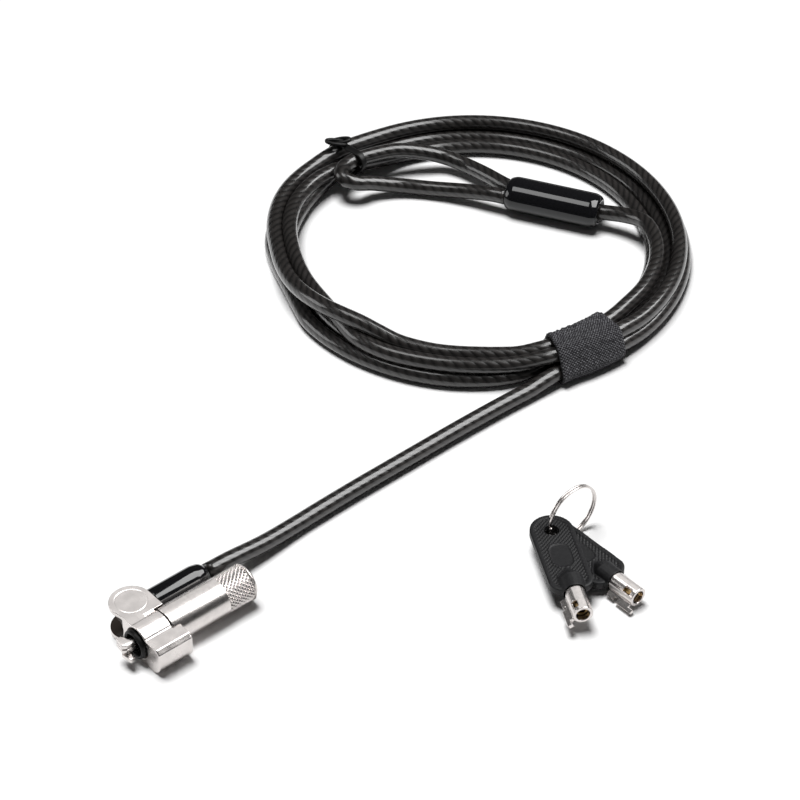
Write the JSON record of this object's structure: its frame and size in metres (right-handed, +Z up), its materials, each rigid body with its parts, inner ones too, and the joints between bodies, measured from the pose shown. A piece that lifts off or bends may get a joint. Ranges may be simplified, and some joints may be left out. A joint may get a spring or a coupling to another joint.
{
  "type": "laptop cable lock",
  "caption": "Keyed laptop lock head with a swivelling pivot on a coiled sheathed steel cable, with an end loop, crimped ferrule, strap, tie and tubular keys on a ring.",
  "frame": {"origin": "on the flat underside of the lock head, straight below the axis of its barrel", "axes": "+Z up from the surface it lies on; +X along the barrel from the nose to the knurled end, the way the cable leaves the head; +Y from the barrel to the cable"},
  "size_m": [0.2406, 0.2016, 0.0163],
  "materials": {
    "nickel": "satin nickel plate, smooth, with soft wide reflections",
    "steel": "bare stamped or turned steel",
    "brass": "turned brass",
    "aluminium": "plain pressed aluminium sleeve",
    "cable_sheath": "clear smoky PVC over twisted steel strands",
    "gloss_plastic": "glossy black moulded plastic",
    "bow_plastic": "satin black plastic with a dimpled recess",
    "gasket_rubber": "soft black rubber",
    "strap_fabric": "black ribbed woven tape"
  },
  "bodies": {
    "cable_set": {"swivel_stud": "steel", "cable_sleeve": "gloss_plastic", "cable_lead": "cable_sheath", "cable_coil": "cable_sheath", "cable_tail": "cable_sheath", "eye_loop": "cable_sheath", "ferrule_cover": "gloss_plastic", "ferrule_crimp": "aluminium", "strap": "strap_fabric", "coil_tie": "gasket_rubber"},
    "knuckle": {"cable_knuckle": "nickel"},
    "head": {"lock_head": "nickel", "front_gasket": "gasket_rubber", "hook_guide": "steel", "pivot_pin": "steel"},
    "barrel": {"lock_barrel": "nickel", "return_spring": "steel"},
    "core": {"lock_core": "steel", "drive_spindle": "steel", "tumbler_pin_1": "brass", "tumbler_pin_2": "brass", "tumbler_pin_3": "brass", "tumbler_pin_4": "brass"},
    "left_hooks": {"hook_upper": "steel", "hook_middle": "steel"},
    "right_hook": {"hook_lower": "steel"},
    "key_ring": {"split_ring": "nickel"},
    "key_1": {"key_1_bow": "bow_plastic", "key_1_shank": "nickel", "key_1_liner": "brass"},
    "key_2": {"key_2_bow": "bow_plastic", "key_2_shank": "nickel", "key_2_liner": "brass"}
  },
  "joints": [
    {"name": "cable_swivel", "type": "hinge", "parent": "cable_set", "child": "knuckle", "pos_m": [0, 0.009, 0.0051], "axis": [1, 0, 0], "continuous": true},
    {"name": "head_pivot", "type": "hinge", "parent": "knuckle", "child": "head", "pos_m": [0, 0.009, 0.0051], "axis": [0, 0, -1], "range_deg": [0, 180]},
    {"name": "barrel_slide", "type": "slide", "parent": "head", "child": "barrel", "axis": [1, 0, 0], "range_m": [0, 0.003]},
    {"name": "core_turn", "type": "hinge", "parent": "barrel", "child": "core", "pos_m": [0.02, 0, 0.0051], "axis": [1, 0, 0], "range_deg": [0, 90]},
    {"name": "left_hooks_slide", "type": "slide", "parent": "head", "child": "left_hooks", "axis": [0, -1, 0], "range_m": [0, 0.00085]},
    {"name": "right_hook_slide", "type": "slide", "parent": "head", "child": "right_hook", "axis": [0, 1, 0], "range_m": [0, 0.00085]},
    {"name": "key_lift", "type": "slide", "parent": "cable_set", "child": "key_ring", "axis": [0, 0, 1], "range_m": [0, 0.05]},
    {"name": "key_1_swing", "type": "hinge", "parent": "key_ring", "child": "key_1", "pos_m": [0.0989, -0.0374, 0.0058], "axis": [0, 0, 1], "range_deg": [-100, 2]},
    {"name": "key_2_swing", "type": "hinge", "parent": "key_ring", "child": "key_2", "pos_m": [0.1005, -0.0365, 0.0033], "axis": [0, 0, 1], "range_deg": [-2, 45]}
  ],
  "couplings": [
    {"joint": "left_hooks_slide", "follows": "barrel_slide", "ratio": 0.28},
    {"joint": "right_hook_slide", "follows": "barrel_slide", "ratio": 0.28}
  ]
}
